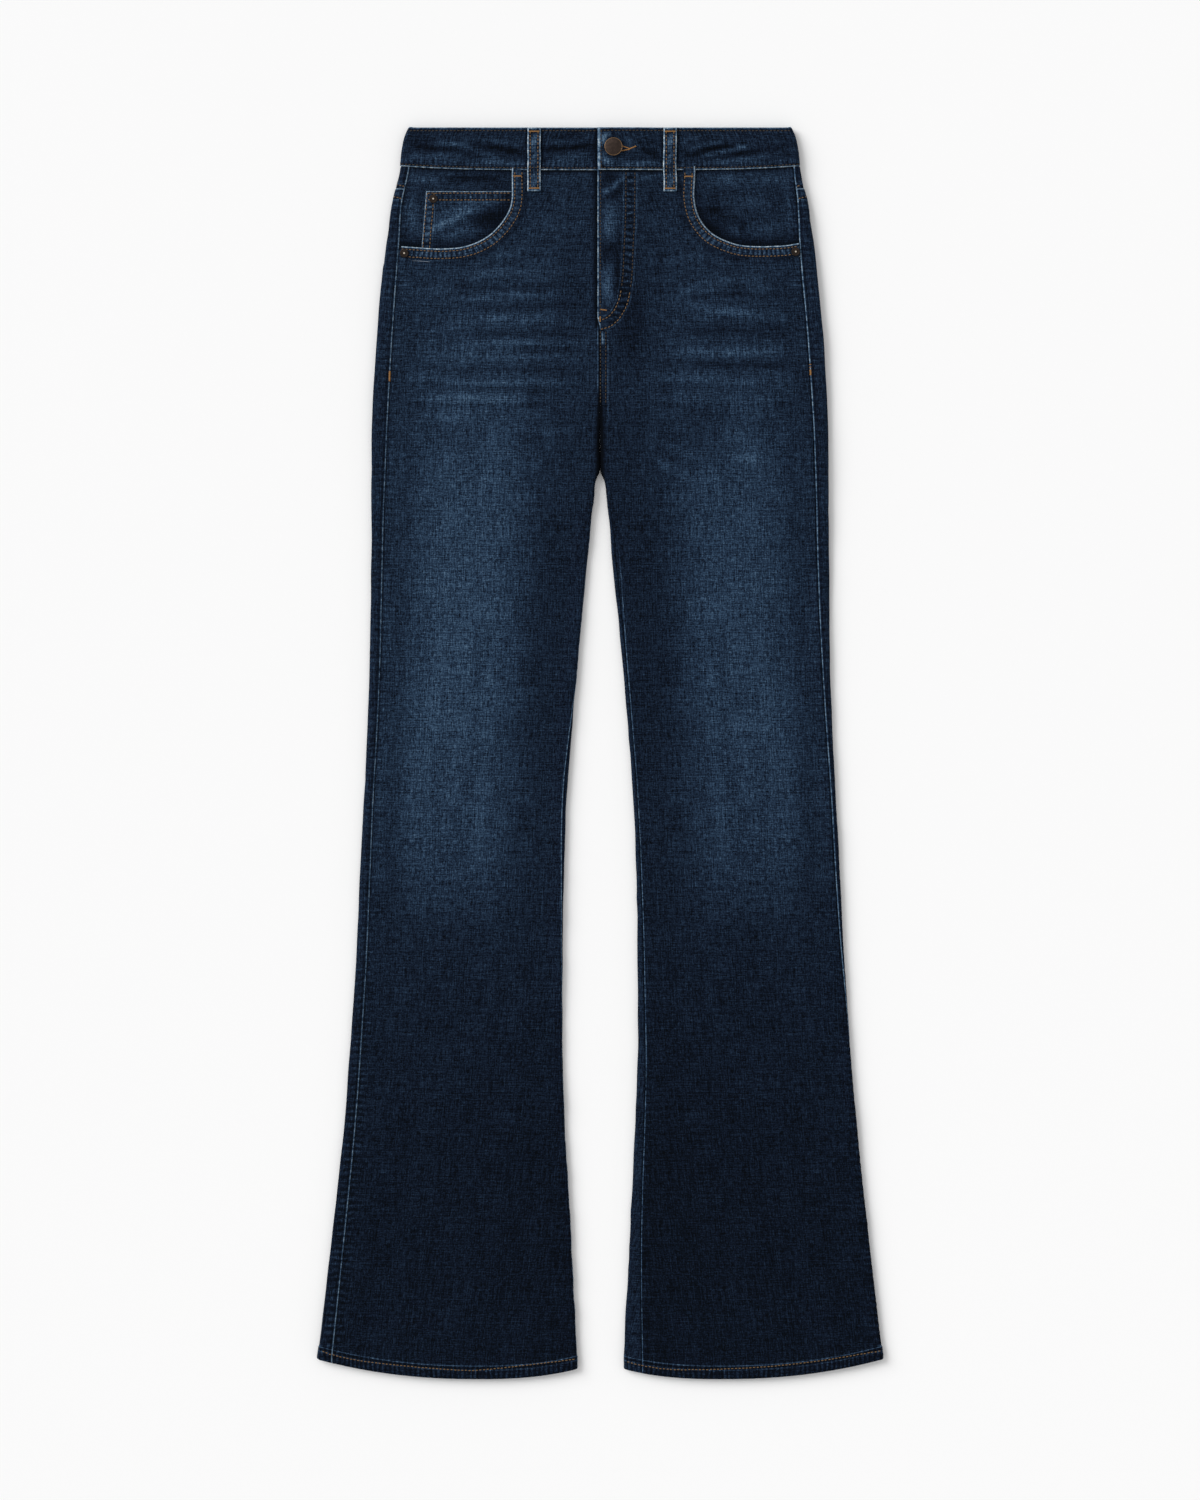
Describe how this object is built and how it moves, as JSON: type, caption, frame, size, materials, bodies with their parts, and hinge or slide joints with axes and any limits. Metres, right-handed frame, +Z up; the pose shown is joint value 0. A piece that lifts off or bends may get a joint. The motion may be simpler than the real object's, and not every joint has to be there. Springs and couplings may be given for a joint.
{
  "type": "slim fit jeans laid flat",
  "caption": "High-waist denim jeans lying flat, front up: slim hip and thigh, legs that flare to the hem, scooped hip pockets, coin pocket, zip fly with a waist button, belt loops.",
  "frame": {"origin": "on the surface the jeans lie on, under the middle of their bounding box", "axes": "+Y toward the waist, +Z up out of the front of the garment, +X toward the wearer's left side"},
  "size_m": [0.5343, 1.1813, 0.0142],
  "materials": {
    "denim": "dark indigo washed denim with a slubby weave, faded at thighs and knees",
    "button_bronze": "dark bronze, matte, thin bright rim",
    "rivet_copper": "dark copper with a worn bright centre"
  },
  "bodies": {
    "root": {"front_right_leg": "denim", "front_left_leg": "denim", "back_right_leg": "denim", "back_left_leg": "denim", "yoke_right": "denim", "yoke_left": "denim", "waistband": "denim", "pocket_facing_right": "denim", "pocket_facing_left": "denim", "coin_pocket": "denim", "fly_shield": "denim", "belt_loop_front_right": "denim", "belt_loop_front_left": "denim", "belt_loop_back_right": "denim", "belt_loop_back_centre": "denim", "belt_loop_back_left": "denim", "back_pocket_right": "denim", "back_pocket_left": "denim", "waist_button": "button_bronze", "rivet_coin_pocket": "rivet_copper", "rivet_pocket_right": "rivet_copper", "rivet_pocket_left": "rivet_copper"}
  },
  "joints": []
}
